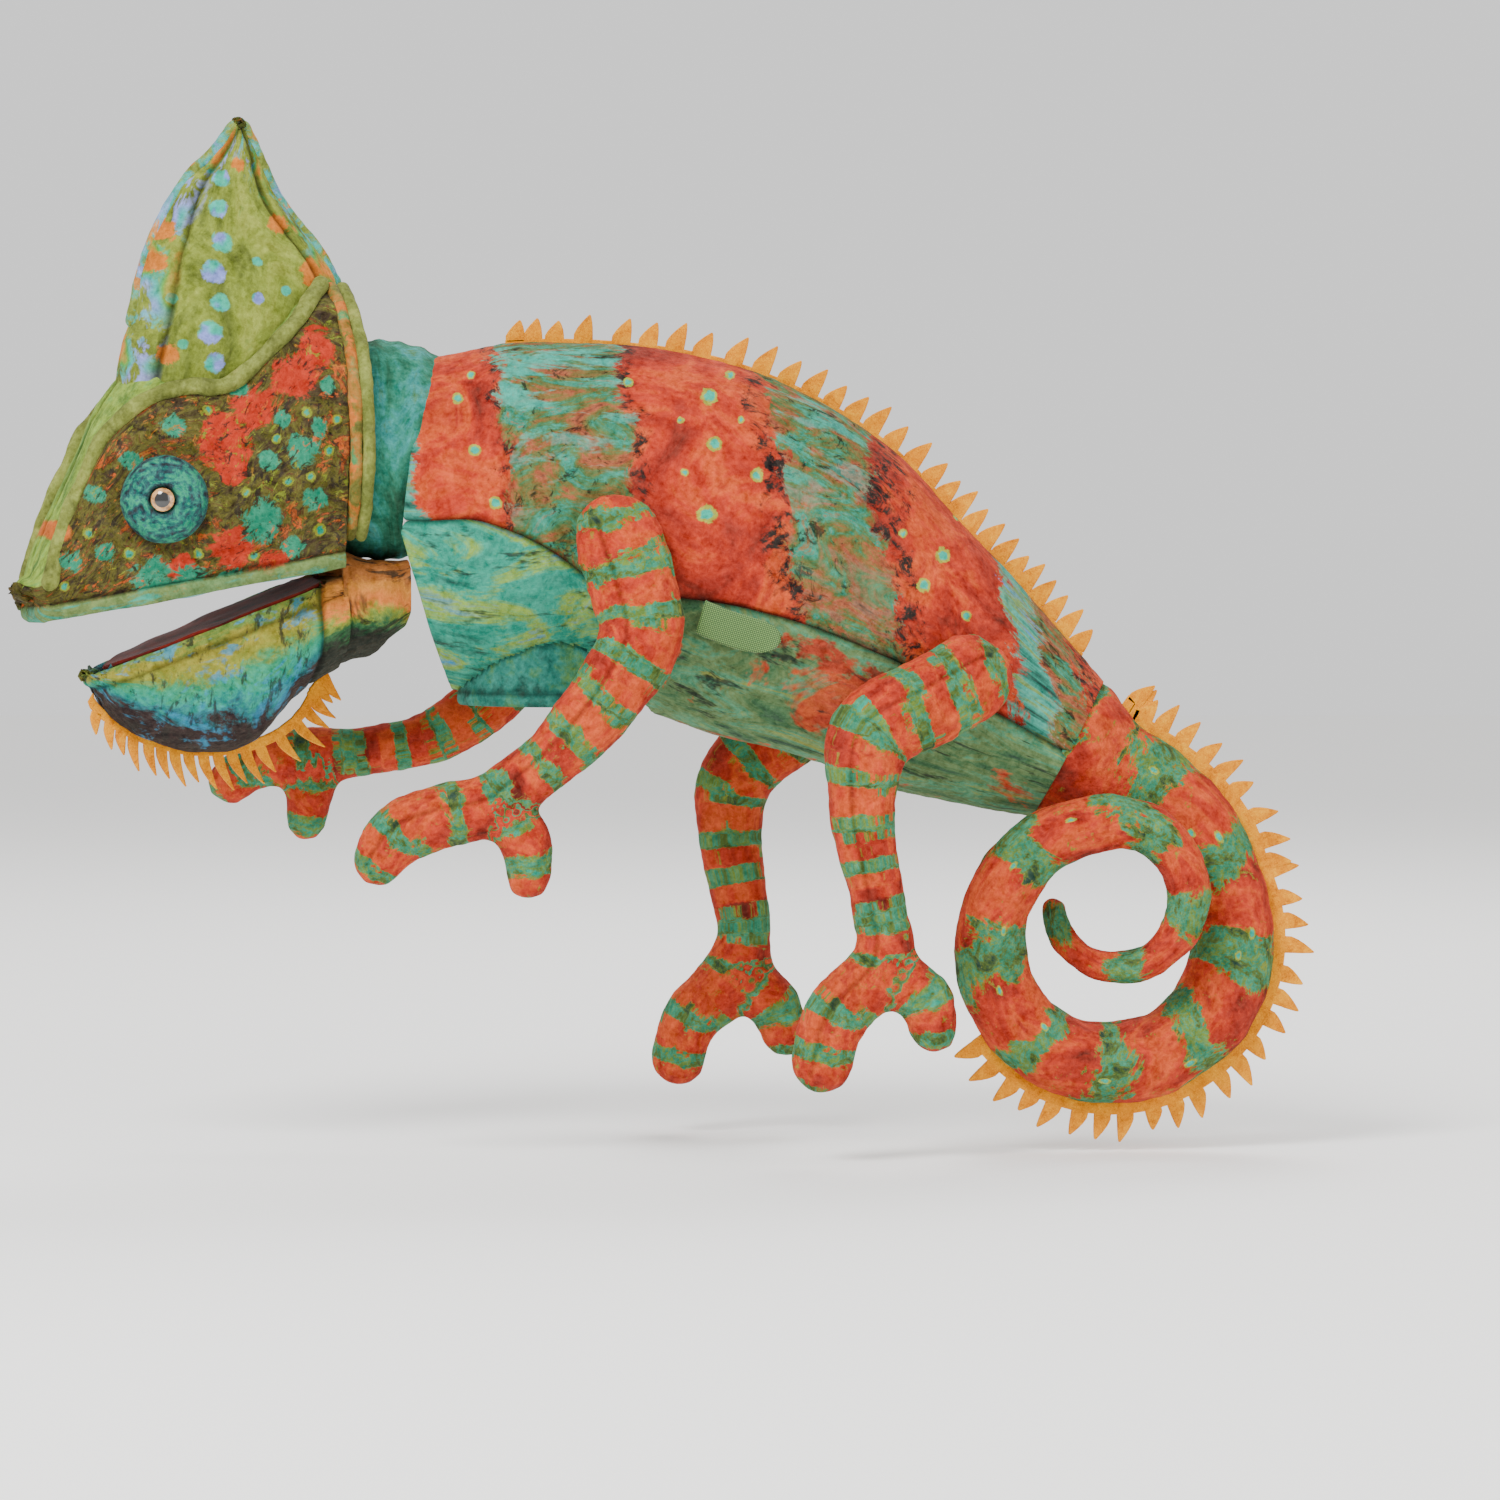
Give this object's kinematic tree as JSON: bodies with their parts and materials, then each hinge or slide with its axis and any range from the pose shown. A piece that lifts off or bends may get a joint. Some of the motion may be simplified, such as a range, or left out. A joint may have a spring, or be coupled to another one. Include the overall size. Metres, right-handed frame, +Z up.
{
  "type": "hand puppet",
  "caption": "Plush chameleon hand puppet with a tall casque, felt crests, a curled tail and a mouth worked by the fingers through a sleeve in the chest.",
  "frame": {"origin": "centre of the hand opening under the chest, 2 mm above its lower edge", "axes": "+X from the head towards the tail, +Y to the animal's right, +Z up; the hand goes in along +Z, and the head looks towards -X turned 18 degrees to -Y"},
  "size_m": [0.3457, 0.1121, 0.2731],
  "materials": {
    "printed_plush": "short printed pile",
    "collar_plush": "short pile",
    "piping_plush": "short pile over a cord",
    "felt": "matt felt",
    "mouth_lining": "smooth woven lining",
    "sleeve_lining": "smooth woven lining",
    "label_weave": "woven ribbon",
    "turret_plush": "short printed pile over a moulded dome",
    "polyester_filling": "loose fibre",
    "board": "matt board",
    "washer_plastic": "matt",
    "eye_gloss": "polished"
  },
  "bodies": {
    "torso": {"back_panel": "printed_plush", "belly_panel": "printed_plush", "chest_panel": "printed_plush", "torso_filling": "polyester_filling", "hand_sleeve": "sleeve_lining", "sleeve_cuff": "printed_plush", "back_crest": "felt", "side_label": "label_weave"},
    "neck": {"neck_collar": "collar_plush"},
    "head": {"face_left": "printed_plush", "face_right": "printed_plush", "head_filling": "polyester_filling", "casque_left": "printed_plush", "casque_right": "printed_plush", "casque_filling": "polyester_filling", "casque_edge_band": "printed_plush", "brow_piping_left": "piping_plush", "brow_piping_right": "piping_plush", "cheek_piping_left": "piping_plush", "cheek_piping_right": "piping_plush", "palate_lining": "mouth_lining", "palate_board": "board", "finger_pocket": "sleeve_lining", "eye_turret_left": "turret_plush", "eye_turret_right": "turret_plush"},
    "eye_left_button": {"eye_left": "eye_gloss", "eye_washer_left": "washer_plastic"},
    "eye_right_button": {"eye_right": "eye_gloss", "eye_washer_right": "washer_plastic"},
    "jaw": {"jaw_left": "printed_plush", "jaw_right": "printed_plush", "jaw_filling": "polyester_filling", "jaw_lining": "mouth_lining", "jaw_board": "board", "thumb_pocket": "sleeve_lining", "chin_crest": "felt", "throat_gusset": "collar_plush"},
    "front_leg_left": {"front_leg_left_skin": "printed_plush", "front_leg_left_filling": "polyester_filling"},
    "front_leg_right": {"front_leg_right_skin": "printed_plush", "front_leg_right_filling": "polyester_filling"},
    "hind_leg_left": {"hind_leg_left_skin": "printed_plush", "hind_leg_left_filling": "polyester_filling"},
    "hind_leg_right": {"hind_leg_right_skin": "printed_plush", "hind_leg_right_filling": "polyester_filling"},
    "tail": {"tail_skin": "printed_plush", "tail_filling": "polyester_filling", "tail_crest": "felt"}
  },
  "joints": [
    {"name": "head_turn", "type": "hinge", "parent": "torso", "child": "neck", "pos_m": [-0.04734, 0, 0.06602], "axis": [0, 0, 1], "range_deg": [-15, 12]},
    {"name": "head_nod", "type": "hinge", "parent": "neck", "child": "head", "pos_m": [-0.04734, 0, 0.06602], "axis": [-0.309, 0.9511, 0], "range_deg": [-10, 10]},
    {"name": "jaw_open", "type": "hinge", "parent": "head", "child": "jaw", "pos_m": [-0.06065, -0.00433, 0.03502], "axis": [0.309, -0.9511, 0], "range_deg": [-8, 14], "deforming": ["throat_gusset"]},
    {"name": "tail_lift", "type": "hinge", "parent": "torso", "child": "tail", "pos_m": [0.13788, 0, -0.01425], "axis": [0, -1, 0], "range_deg": [-8, 12]},
    {"name": "front_leg_left_swing", "type": "hinge", "parent": "torso", "child": "front_leg_left", "pos_m": [0.01728, -0.037, 0.04275], "axis": [0, 1, 0], "range_deg": [-22, 8]},
    {"name": "front_leg_right_swing", "type": "hinge", "parent": "torso", "child": "front_leg_right", "pos_m": [0.00018, 0.037, 0.0342], "axis": [0, 1, 0], "range_deg": [-20, 8]},
    {"name": "hind_leg_left_swing", "type": "hinge", "parent": "torso", "child": "hind_leg_left", "pos_m": [0.11088, -0.037, 0.0057], "axis": [0, 1, 0], "range_deg": [-14, 12]},
    {"name": "hind_leg_right_swing", "type": "hinge", "parent": "torso", "child": "hind_leg_right", "pos_m": [0.07776, 0.037, 0.00285], "axis": [0, 1, 0], "range_deg": [-14, 12]},
    {"name": "eye_left_turn", "type": "hinge", "parent": "head", "child": "eye_left_button", "pos_m": [-0.10198, -0.0409, 0.05302], "axis": [0, -1, 0], "continuous": true},
    {"name": "eye_right_turn", "type": "hinge", "parent": "head", "child": "eye_right_button", "pos_m": [-0.11558, 0.00097, 0.05302], "axis": [-0.5878, 0.809, 0], "continuous": true}
  ]
}
